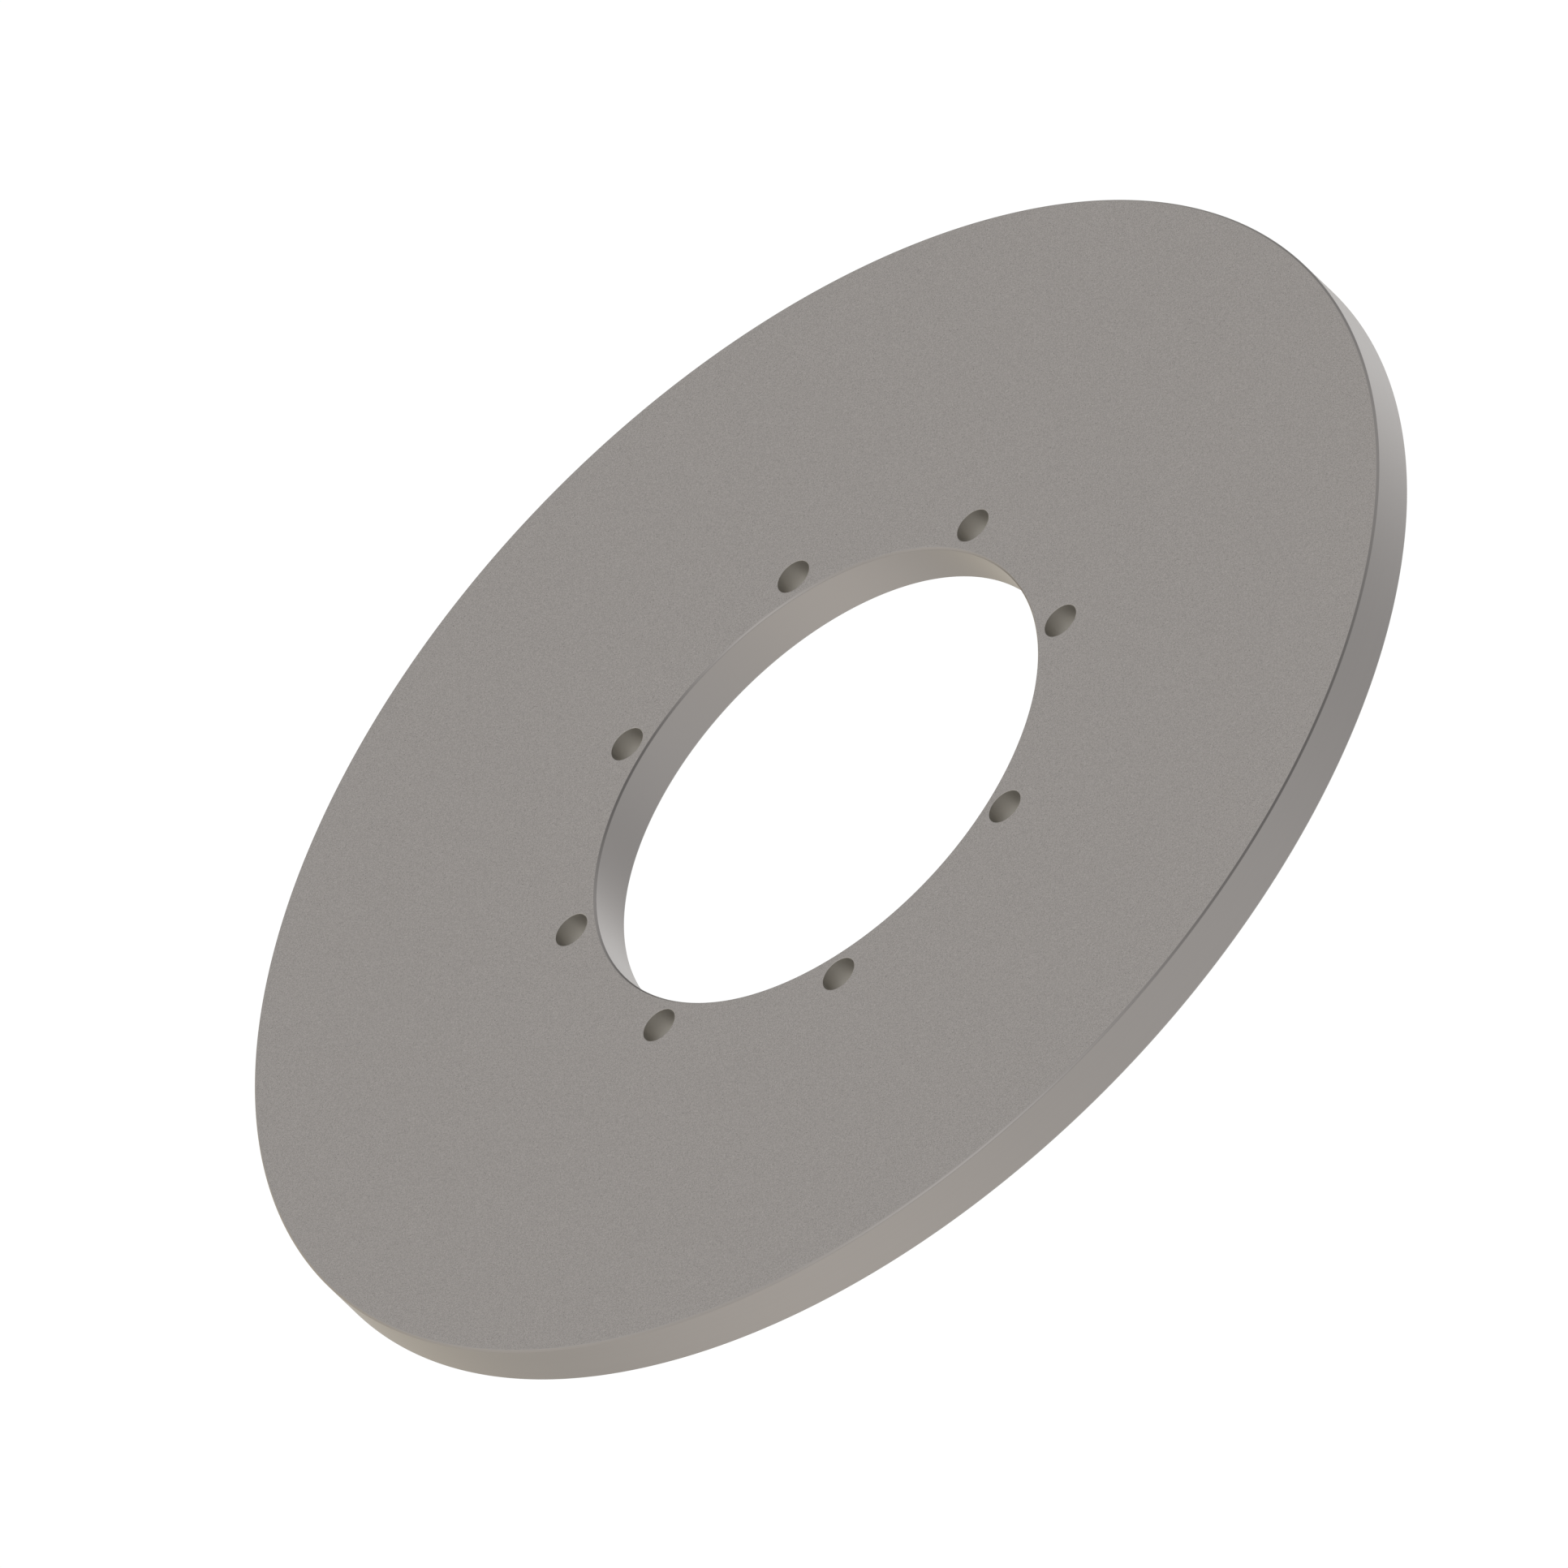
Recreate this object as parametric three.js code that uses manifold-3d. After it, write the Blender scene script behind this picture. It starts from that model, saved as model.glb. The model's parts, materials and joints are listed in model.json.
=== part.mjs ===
// Solid brake disc rotor for a light motorcycle: one flat ring of steel with a wide open bore
// that clears the hub, a circle of plain bolt holes round the bore, and its four circular edges
// lightly chamfered.
//
// Millimetres. The disc lies flat. The origin is the centre of the bore on the face that sits
// against the hub, +Z is the axle axis and points to the face under the bolt heads, and the
// first bolt hole is on +X.

import * as THREE from 'three';
import { mergeVertices } from 'three/addons/utils/BufferGeometryUtils.js';
import Module from 'manifold-3d';

// Driving dimensions
const OUTER_DIAMETER = 229;
const BORE_DIAMETER = 90;
const THICKNESS = 8.1;
const EDGE_CHAMFER = 0.3;

const BOLT_CIRCLE_DIAMETER = 100;
const BOLT_HOLE_DIAMETER = 6.4;
const BOLT_HOLE_COUNT = 8;

// Flats that stand for a full turn of each round surface
const DISC_SEGMENTS = 240;
const BOLT_HOLE_SEGMENTS = 40;

// How far a drill passes beyond each face, so that the cut is clean
const DRILL_OVERSHOOT = 2;

const SATIN_STEEL = { color: 0x95918e, roughness: 0.5, metalness: 1 };

const wasm = await Module();
wasm.setup();

function toManifold(geometry) {
  const positionsOnly = geometry.clone();
  positionsOnly.deleteAttribute('normal');
  positionsOnly.deleteAttribute('uv');
  const merged = mergeVertices(positionsOnly);
  const mesh = new wasm.Mesh({
    numProp: 3,
    vertProperties: new Float32Array(merged.attributes.position.array),
    triVerts: new Uint32Array(merged.index.array),
  });
  return new wasm.Manifold(mesh);
}

function fromManifold(solid) {
  const mesh = solid.getMesh();
  const geometry = new THREE.BufferGeometry();
  geometry.setAttribute('position', new THREE.BufferAttribute(mesh.vertProperties, 3));
  geometry.setIndex(new THREE.BufferAttribute(mesh.triVerts, 1));
  geometry.computeVertexNormals();
  return geometry;
}

// The plain ring: its section, turned about the axle axis
function ringGeometry() {
  const inner = BORE_DIAMETER / 2;
  const outer = OUTER_DIAMETER / 2;
  const section = [
    new THREE.Vector2(inner + EDGE_CHAMFER, 0),
    new THREE.Vector2(outer - EDGE_CHAMFER, 0),
    new THREE.Vector2(outer, EDGE_CHAMFER),
    new THREE.Vector2(outer, THICKNESS - EDGE_CHAMFER),
    new THREE.Vector2(outer - EDGE_CHAMFER, THICKNESS),
    new THREE.Vector2(inner + EDGE_CHAMFER, THICKNESS),
    new THREE.Vector2(inner, THICKNESS - EDGE_CHAMFER),
    new THREE.Vector2(inner, EDGE_CHAMFER),
    new THREE.Vector2(inner + EDGE_CHAMFER, 0),
  ];
  const geometry = new THREE.LatheGeometry(section, DISC_SEGMENTS);
  geometry.rotateX(Math.PI / 2); // the lathe's own axis is +Y
  return geometry;
}

// The metal that a drill takes out at one angle round the bolt circle
function boltHoleGeometry(angle) {
  const radius = BOLT_HOLE_DIAMETER / 2;
  const length = THICKNESS + 2 * DRILL_OVERSHOOT;
  const geometry = new THREE.CylinderGeometry(radius, radius, length, BOLT_HOLE_SEGMENTS);
  geometry.rotateX(Math.PI / 2);
  geometry.translate(BOLT_CIRCLE_DIAMETER / 2, 0, THICKNESS / 2);
  geometry.rotateZ(angle);
  return geometry;
}

function brakeDisc() {
  let solid = toManifold(ringGeometry());
  for (let hole = 0; hole < BOLT_HOLE_COUNT; hole += 1) {
    const angle = (hole / BOLT_HOLE_COUNT) * 2 * Math.PI;
    solid = solid.subtract(toManifold(boltHoleGeometry(angle)));
  }
  const mesh = new THREE.Mesh(fromManifold(solid), new THREE.MeshStandardMaterial(SATIN_STEEL));
  mesh.name = 'brake_disc';
  return mesh;
}

const group = new THREE.Group();
group.add(brakeDisc());

export default group;
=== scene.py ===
"""The looks of a solid brake disc rotor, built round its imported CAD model.

The disc is one piece of steel, so it is one mesh: a fine, closed surface with softened chamfer
edges and true round holes. Its flat faces have a fine blasted grain, and its turned walls and
chamfers are smoother. It lies on a plain white floor in soft studio light.
"""

import json
import math

import bmesh
import bpy
from mathutils import Matrix, Vector


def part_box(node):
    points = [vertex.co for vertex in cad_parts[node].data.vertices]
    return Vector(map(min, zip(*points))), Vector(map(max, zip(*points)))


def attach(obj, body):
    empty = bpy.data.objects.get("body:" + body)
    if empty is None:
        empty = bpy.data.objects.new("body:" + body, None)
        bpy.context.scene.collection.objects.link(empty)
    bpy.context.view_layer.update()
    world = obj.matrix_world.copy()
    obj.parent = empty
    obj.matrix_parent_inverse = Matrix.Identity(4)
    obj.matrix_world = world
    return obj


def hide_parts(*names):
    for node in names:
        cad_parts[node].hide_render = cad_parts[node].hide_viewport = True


MM = 0.001

CAD_NODE = "brake_disc"
BODY = "root"

# Fineness of the mesh
SECTOR_STEPS = 90  # round the rim, for each bolt hole's share of it
BLOCK_STEPS = 24  # of those, in the block of faces round a bolt hole
BLOCK_RADIAL_STEPS = 20  # across that block, from the bore outwards
BLOCK_LAYERS = 5  # from the hole's edge out to the block's edge
FACE_RINGS = 20  # between the bolt hole blocks and the rim
EDGE_SOFTNESS = 0.04 * MM  # how far a machined corner is rounded back
CREASE_MARGIN = 0.12 * MM  # ring that keeps a flat face flat up to its corner
WELD_DISTANCE = 0.001 * MM

FLAT_FACE, TURNED_EDGE, HOLE_WALL = 0, 1, 2  # material slots of the mesh

# Finish of the steel
BARE_STEEL = (0.300, 0.284, 0.275)
# Painted lighter than the bare steel, to lift the shade that falls inside the bolt holes
STEEL_PAINTED_LIGHTER = (0.455, 0.437, 0.405)
GRAIN_SIZE = 0.17 * MM
TURNING_PITCH = 0.15 * MM  # of the lathe lines, and of the drill's rings in the holes
MOTTLE_SIZE = 12 * MM
MOTTLE_CONTRAST = 0.02
GRAIN_DETAIL, TURNING_DETAIL, MOTTLE_DETAIL = 1, 2, 3  # how many finer layers each noise has
NOISE_ROUGHNESS = 0.6  # strength of each finer layer next to the one before
NOISE_MIDDLE = 0.5  # the value that the noise varies about

# Camera. Its width and its aim are in radii of the disc.
VIEW_AZIMUTH = math.radians(24.54)
VIEW_ELEVATION = math.radians(33.16)
VIEW_ROLL = math.radians(46.34)
VIEW_WIDTH = 2.2195
AIM_LEFT = 0.0665
AIM_UP = 0.0080
CAMERA_DISTANCE = 1.0

# Floor and backdrop
FLOOR_REACH = 4.0
FLOOR_DROP = 0.02 * MM  # keeps the floor just clear of the disc's lower face
BACKDROP_RADIUS = 8.0
BACKDROP_SEGMENTS = 48
BACKDROP_RINGS = 24
WHITE_GLOW = 1.02  # just past full white

# Soft lights round a dim white surround. Each has the angle of its middle round
# the disc from +X and its height above the disc's plane, in degrees, how tightly it is gathered
# (a larger number is a smaller light), how much it adds at its middle, and its colour.
WHITE = (1, 1, 1)
WARM_WHITE = (1.04, 1, 0.93)
AMBER = (1, 0.82, 0.5)
SURROUND = (0.19, 0.19, 0.19)
SOFT_LIGHTS = {
    "left": (184, 28, 3, 0.73, WARM_WHITE),
    "front_left": (-95, 50, 9, 1.06, WHITE),
    "back": (120, 50, 7, 0.78, WHITE),
    "right": (50, 22, 11, 0.54, WHITE),
    "below_front": (-128, -42, 2.5, 0.80, WARM_WHITE),
    "below_right": (-25, -42, 2, 0.68, WHITE),
    "below_back": (74, -42, 8, 0.92, WHITE),
    "below_left": (140, -14, 8, 0.40, AMBER),
}

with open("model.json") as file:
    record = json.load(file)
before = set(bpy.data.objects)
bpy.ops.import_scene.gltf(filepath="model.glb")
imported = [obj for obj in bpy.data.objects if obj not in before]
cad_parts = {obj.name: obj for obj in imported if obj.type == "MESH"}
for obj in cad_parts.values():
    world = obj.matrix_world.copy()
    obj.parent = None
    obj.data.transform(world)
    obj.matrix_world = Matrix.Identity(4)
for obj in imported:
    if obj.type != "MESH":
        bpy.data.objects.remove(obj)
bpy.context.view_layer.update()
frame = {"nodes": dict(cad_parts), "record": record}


# ---------------------------------------------------------------- sizes


class DiscSizes:
    """The disc's own sizes in metres, read off its CAD node and its record. Its outer, bore,
    bolt_circle and hole are radii."""

    def __init__(self):
        low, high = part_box(CAD_NODE)
        corners = [v.co for v in frame["nodes"][CAD_NODE].data.vertices]
        top = [co for co in corners if co.z > high.z - WELD_DISTANCE]
        holes = self.bolt_hole_centres()
        self.thickness = high.z - low.z
        self.outer = (high.x - low.x) / 2
        self.bore = min(co.xy.length for co in corners)
        self.chamfer = self.outer - max(co.xy.length for co in top)
        self.hole_count = len(holes)
        self.bolt_circle = holes[0].length
        self.hole = min((co.xy - holes[0]).length for co in top)

    @staticmethod
    def bolt_hole_centres():
        openings = frame["record"]["physics"]["openings"]
        boxes = [o["box_m"] for o in openings if o["name"].startswith("bolt_hole")]
        return [(Vector(low[:2]) + Vector(high[:2])) / 2 for low, high in boxes]


# ---------------------------------------------------------------- mesh


def soft_corner(before, corner, after):
    """Three points that round a section's corner off, over EDGE_SOFTNESS each way: the start,
    the middle and the end of a curve that bends towards the corner."""
    start = corner + (before - corner).normalized() * EDGE_SOFTNESS
    end = corner + (after - corner).normalized() * EDGE_SOFTNESS
    middle = (start + end) / 4 + corner / 2
    return [start, middle, end]


def chamfered_edge(face_radius, wall_radius, half_thickness, chamfer):
    """Section from a face ring round the chamfer and down the wall to mid-thickness, as
    (radius, height) points."""
    outward = 1 if wall_radius > face_radius else -1
    flat = Vector((face_radius, half_thickness))
    on_face = Vector((wall_radius - outward * chamfer, half_thickness))
    on_wall = Vector((wall_radius, half_thickness - chamfer))
    middle = Vector((wall_radius, 0))
    margin = Vector((outward * CREASE_MARGIN, 0))
    drop = Vector((0, EDGE_SOFTNESS + CREASE_MARGIN))
    return [
        flat,
        on_face - margin - margin.normalized() * EDGE_SOFTNESS,
        *soft_corner(flat, on_face, on_wall),
        *soft_corner(on_face, on_wall, middle),
        on_wall - drop,
        middle,
    ]


class Sector:
    """One bolt hole's share of the upper half of the disc, about the first hole on +X.

    Heights are from mid-thickness. Vertices are shared only inside a patch: the patches meet
    point for point and are welded once the whole disc is laid out.
    """

    def __init__(self, sizes):
        self.sizes = sizes
        self.half = sizes.thickness / 2
        self.step = 2 * math.pi / sizes.hole_count / SECTOR_STEPS
        margin = sizes.chamfer + EDGE_SOFTNESS + CREASE_MARGIN
        self.block_inner = sizes.bore + margin
        self.block_outer = 2 * sizes.bolt_circle - self.block_inner
        self.bm = bmesh.new()

    def around(self, radius, step, height):
        angle = step * self.step
        return Vector((radius * math.cos(angle), radius * math.sin(angle), height))

    def patch(self, rows, materials, closed=False):
        """Quads between rows of points; materials has one entry for each gap between rows."""
        made = [[self.bm.verts.new(point) for point in row] for row in rows]
        for lower, upper, material in zip(made, made[1:], materials):
            columns = len(lower) if closed else len(lower) - 1
            for i in range(columns):
                j = (i + 1) % len(lower)
                face = self.bm.faces.new((lower[i], lower[j], upper[j], upper[i]))
                face.material_index = material
                face.smooth = True

    def swept(self, section, steps, flat_rings):
        """A section turned about the axle axis. Its first flat_rings gaps are face."""
        rows = [[self.around(p.x, step, p.y) for step in steps] for p in section]
        gaps = len(section) - 1
        materials = [FLAT_FACE if i < flat_rings else TURNED_EDGE for i in range(gaps)]
        self.patch(rows, materials)

    def steps(self):
        half = SECTOR_STEPS // 2
        return range(-half, half + 1)

    def rim(self):
        sizes = self.sizes
        last_ring = sizes.outer - sizes.chamfer - EDGE_SOFTNESS - CREASE_MARGIN
        width = (last_ring - self.block_outer) / FACE_RINGS
        radii = [self.block_outer + width * i for i in range(FACE_RINGS)]
        face = [Vector((radius, self.half)) for radius in radii]
        edge = chamfered_edge(radii[-1], sizes.outer, self.half, sizes.chamfer)
        section = face + edge[1:]
        self.swept(section, self.steps(), FACE_RINGS)

    def bore(self):
        sizes = self.sizes
        edge = chamfered_edge(self.block_outer, sizes.bore, self.half, sizes.chamfer)
        self.swept(edge[1:], self.steps(), 1)

    def webs(self):
        """The flat face between one hole's block and the next hole's."""
        half, block = SECTOR_STEPS // 2, BLOCK_STEPS // 2
        for first, last in ((-half, -block), (block, half)):
            steps = range(first, last + 1)
            section = [Vector((r, self.half)) for r in self.block_radii()]
            self.swept(section, steps, len(section))

    def block_radii(self):
        gap = (self.block_outer - self.block_inner) / BLOCK_RADIAL_STEPS
        return [self.block_inner + gap * i for i in range(BLOCK_RADIAL_STEPS + 1)]

    def block_outline(self):
        """The block's edge, as a loop of points that starts beyond the hole on +X."""
        block = BLOCK_STEPS // 2
        radii = self.block_radii()
        outer_side = [(radii[-1], step) for step in range(0, block)]
        left_side = [(radius, block) for radius in reversed(radii[1:])]
        inner_side = [(radii[0], step) for step in range(block, -block, -1)]
        right_side = [(radius, -block) for radius in radii[:-1]]
        closing = [(radii[-1], step) for step in range(-block, 0)]
        loop = outer_side + left_side + inner_side + right_side + closing
        return [self.around(radius, step, self.half) for radius, step in loop]

    def bolt_hole(self):
        """The block of face round the hole, the hole's edge and its wall."""
        outline = self.block_outline()
        count = len(outline)
        centre = Vector((self.sizes.bolt_circle, 0, 0))

        def ring(radius, height):
            turn = 2 * math.pi / count
            spokes = [Vector((math.cos(turn * i), math.sin(turn * i), 0)) for i in range(count)]
            return [centre + spoke * radius + Vector((0, 0, height)) for spoke in spokes]

        hole = self.sizes.hole
        edge_ring = ring(hole + EDGE_SOFTNESS + CREASE_MARGIN, self.half)
        layers = []
        for layer in range(BLOCK_LAYERS):
            share = layer / BLOCK_LAYERS
            layers.append([a.lerp(b, share) for a, b in zip(outline, edge_ring)])
        corner = Vector((hole, self.half))
        edge = soft_corner(corner + Vector((1, 0)), corner, corner - Vector((0, 1)))
        wall_top = self.half - EDGE_SOFTNESS - CREASE_MARGIN
        wall = [ring(p.x, p.y) for p in edge] + [ring(hole, wall_top), ring(hole, 0)]
        rows = layers + [edge_ring] + wall
        gaps = len(rows) - 1
        flat = BLOCK_LAYERS + 1
        materials = [FLAT_FACE if i < flat else HOLE_WALL for i in range(gaps)]
        self.patch(rows, materials, closed=True)


def disc_mesh(sizes):
    sector = Sector(sizes)
    sector.rim()
    sector.bore()
    sector.webs()
    sector.bolt_hole()
    bm = sector.bm
    first = bm.verts[:] + bm.edges[:] + bm.faces[:]
    for hole in range(1, sizes.hole_count):
        copy = bmesh.ops.duplicate(bm, geom=first)["geom"]
        verts = [item for item in copy if isinstance(item, bmesh.types.BMVert)]
        turn = Matrix.Rotation(2 * math.pi * hole / sizes.hole_count, 3, "Z")
        bmesh.ops.rotate(bm, verts=verts, cent=(0, 0, 0), matrix=turn)
    lower = bmesh.ops.duplicate(bm, geom=bm.verts[:] + bm.edges[:] + bm.faces[:])["geom"]
    for item in lower:
        if isinstance(item, bmesh.types.BMVert):
            item.co.z = -item.co.z
    bmesh.ops.remove_doubles(bm, verts=bm.verts[:], dist=WELD_DISTANCE)
    bmesh.ops.recalc_face_normals(bm, faces=bm.faces[:])
    bmesh.ops.translate(bm, verts=bm.verts[:], vec=(0, 0, sizes.thickness / 2))
    mesh = bpy.data.meshes.new("brake_disc_steel")
    bm.to_mesh(mesh)
    bm.free()
    return mesh


# ---------------------------------------------------------------- materials


def add_node(tree, kind, inputs, **settings):
    """A new shader node with its settings, and each input set to a value or linked to a socket."""
    node = tree.nodes.new("ShaderNode" + kind)
    for name, value in settings.items():
        setattr(node, name, value)
    for key, value in inputs.items():
        if isinstance(value, bpy.types.NodeSocket):
            tree.links.new(value, node.inputs[key])
        else:
            node.inputs[key].default_value = value
    return node


def add_math(tree, operation, *values):
    return add_node(tree, "Math", dict(enumerate(values)), operation=operation).outputs["Value"]


def add_noise(tree, place, size, detail):
    """Smooth noise about zero, whose features are about size metres across."""
    inputs = {"Vector": place, "Scale": 1 / size, "Detail": detail, "Roughness": NOISE_ROUGHNESS}
    noise = add_node(tree, "TexNoise", inputs).outputs["Fac"]
    return add_math(tree, "SUBTRACT", noise, NOISE_MIDDLE)


def object_place(tree):
    return add_node(tree, "TexCoord", {}).outputs["Object"]


def blasted_grain(tree):
    """Fine even grain, the same in every direction."""
    return add_noise(tree, object_place(tree), GRAIN_SIZE, GRAIN_DETAIL)


def turning_marks(tree):
    """Fine lines round the axle axis, as a lathe tool leaves them."""
    split = add_node(tree, "SeparateXYZ", {"Vector": object_place(tree)}).outputs
    flat = add_node(tree, "CombineXYZ", {"X": split["X"], "Y": split["Y"]}).outputs["Vector"]
    length = add_node(tree, "VectorMath", {0: flat}, operation="LENGTH").outputs["Value"]
    across = {"X": length, "Y": split["Z"]}
    place = add_node(tree, "CombineXYZ", across).outputs["Vector"]
    return add_noise(tree, place, TURNING_PITCH, TURNING_DETAIL)


def drill_marks(tree):
    """Fine rings down a hole."""
    split = add_node(tree, "SeparateXYZ", {"Vector": object_place(tree)}).outputs
    place = add_node(tree, "CombineXYZ", {"Z": split["Z"]}).outputs["Vector"]
    return add_noise(tree, place, TURNING_PITCH, TURNING_DETAIL)


def steel(name, colour, pattern, contrast, roughness, roughness_spread, depth):
    """Bare metal whose colour, roughness and height follow a pattern of values about zero, with
    a faint slow mottle over it. Contrast is a share of the colour, and depth is in metres."""
    material = bpy.data.materials.new(name)
    material.use_nodes = True
    tree = material.node_tree
    marks = pattern(tree)
    mottle = add_noise(tree, object_place(tree), MOTTLE_SIZE, MOTTLE_DETAIL)
    slow = add_math(tree, "MULTIPLY_ADD", mottle, MOTTLE_CONTRAST, 1)
    shade = add_math(tree, "MULTIPLY_ADD", marks, contrast, slow)
    tint = add_node(tree, "VectorMath", {0: colour, "Scale": shade}, operation="SCALE")
    rough = add_math(tree, "MULTIPLY_ADD", marks, roughness_spread, roughness)
    bump = add_node(tree, "Bump", {"Strength": 1, "Distance": depth, "Height": marks})
    shader = tree.nodes["Principled BSDF"]
    shader.inputs["Metallic"].default_value = 1
    tree.links.new(tint.outputs["Vector"], shader.inputs["Base Color"])
    tree.links.new(rough, shader.inputs["Roughness"])
    tree.links.new(bump.outputs["Normal"], shader.inputs["Normal"])
    return material


def blasted_steel():
    """The flat faces: a fine even grain."""
    return steel(
        "blasted_steel", BARE_STEEL, blasted_grain,
        contrast=1.00, roughness=0.30, roughness_spread=0.10, depth=0.020 * MM,
    )


def turned_steel():
    """The rim, the bore and their chamfers: faint lathe lines."""
    return steel(
        "turned_steel", BARE_STEEL, turning_marks,
        contrast=0.06, roughness=0.30, roughness_spread=0.06, depth=0.003 * MM,
    )


def drilled_steel_painted_light():
    """The walls of the bolt holes: dull steel with drill rings, painted lighter than the faces to
    lift the shade that falls inside the holes.
    """
    return steel(
        "drilled_steel_painted_light", STEEL_PAINTED_LIGHTER, drill_marks,
        contrast=0.12, roughness=0.50, roughness_spread=0.10, depth=0.006 * MM,
    )


def glowing_white():
    """The floor and backdrop: plain white that needs no light of its own and takes no shadow."""
    material = bpy.data.materials.new("glowing_white")
    material.use_nodes = True
    shader = material.node_tree.nodes["Principled BSDF"]
    shader.inputs["Base Color"].default_value = (0, 0, 0, 1)
    shader.inputs["Specular IOR Level"].default_value = 0
    shader.inputs["Emission Color"].default_value = (1, 1, 1, 1)
    shader.inputs["Emission Strength"].default_value = WHITE_GLOW
    material.cycles.emission_sampling = "NONE"
    return material


# ---------------------------------------------------------------- object


def brake_disc(sizes):
    mesh = disc_mesh(sizes)
    mesh.materials.append(blasted_steel())
    mesh.materials.append(turned_steel())
    mesh.materials.append(drilled_steel_painted_light())
    disc = bpy.data.objects.new("brake_disc_steel", mesh)
    bpy.context.scene.collection.objects.link(disc)
    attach(disc, BODY)
    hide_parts(CAD_NODE)


# ---------------------------------------------------------------- studio


def set_piece(name, mesh):
    """A part of the studio that the camera sees and the steel doesn't mirror."""
    mesh.materials.append(glowing_white())
    piece = bpy.data.objects.new(name, mesh)
    piece.visible_glossy = False
    piece.visible_diffuse = False
    piece.visible_shadow = False
    bpy.context.scene.collection.objects.link(piece)
    return piece


def floor():
    mesh = bpy.data.meshes.new("floor")
    reach = FLOOR_REACH
    corners = [(-reach, -reach, 0), (reach, -reach, 0), (reach, reach, 0), (-reach, reach, 0)]
    mesh.from_pydata(corners, [], [(0, 1, 2, 3)])
    set_piece("floor", mesh).location.z = -FLOOR_DROP


def backdrop():
    mesh = bpy.data.meshes.new("backdrop")
    bm = bmesh.new()
    bmesh.ops.create_uvsphere(
        bm, u_segments=BACKDROP_SEGMENTS, v_segments=BACKDROP_RINGS, radius=BACKDROP_RADIUS,
    )
    bm.to_mesh(mesh)
    bm.free()
    set_piece("backdrop", mesh)


def direction(azimuth, elevation):
    """The way to a spot of the sky, from its two angles in degrees."""
    a, e = math.radians(azimuth), math.radians(elevation)
    return Vector((math.cos(a) * math.cos(e), math.sin(a) * math.cos(e), math.sin(e)))


def studio_world():
    """The soft lights as smooth bright areas of the sky, so they are the same from every spot."""
    world = bpy.data.worlds.new("studio")
    world.use_nodes = True
    tree = world.node_tree
    toward = add_node(tree, "TexCoord", {}).outputs["Generated"]
    total = SURROUND
    for azimuth, elevation, tightness, strength, colour in SOFT_LIGHTS.values():
        middle = {0: toward, 1: direction(azimuth, elevation)}
        facing = add_node(tree, "VectorMath", middle, operation="DOT_PRODUCT").outputs["Value"]
        away = add_math(tree, "SUBTRACT", facing, 1)
        falloff = add_math(tree, "EXPONENT", add_math(tree, "MULTIPLY", away, tightness))
        brightness = add_math(tree, "MULTIPLY", falloff, strength)
        glow = add_node(tree, "VectorMath", {0: colour, "Scale": brightness}, operation="SCALE")
        both = {0: glow.outputs["Vector"], 1: total}
        total = add_node(tree, "VectorMath", both, operation="ADD").outputs["Vector"]
    tree.links.new(total, tree.nodes["Background"].inputs["Color"])
    bpy.context.scene.world = world


def camera(sizes):
    data = bpy.data.cameras.new("camera")
    data.type = "ORTHO"
    data.ortho_scale = VIEW_WIDTH * sizes.outer
    back = Vector((
        math.sin(VIEW_AZIMUTH) * math.cos(VIEW_ELEVATION),
        -math.cos(VIEW_AZIMUTH) * math.cos(VIEW_ELEVATION),
        math.sin(VIEW_ELEVATION),
    ))
    level_right = Vector((math.cos(VIEW_AZIMUTH), math.sin(VIEW_AZIMUTH), 0))
    level_up = back.cross(level_right)
    right = math.cos(VIEW_ROLL) * level_right - math.sin(VIEW_ROLL) * level_up
    up = back.cross(right)
    aim = Vector((0, 0, sizes.thickness / 2))
    aim -= right * AIM_LEFT * sizes.outer
    aim += up * AIM_UP * sizes.outer
    viewer = bpy.data.objects.new("camera", data)
    turn = Matrix((right, up, back)).transposed().to_4x4()
    viewer.matrix_world = Matrix.Translation(aim + back * CAMERA_DISTANCE) @ turn
    bpy.context.scene.collection.objects.link(viewer)
    bpy.context.scene.camera = viewer


sizes = DiscSizes()
camera(sizes)
brake_disc(sizes)
floor()
backdrop()
studio_world()
bpy.context.scene.view_settings.view_transform = "Standard"
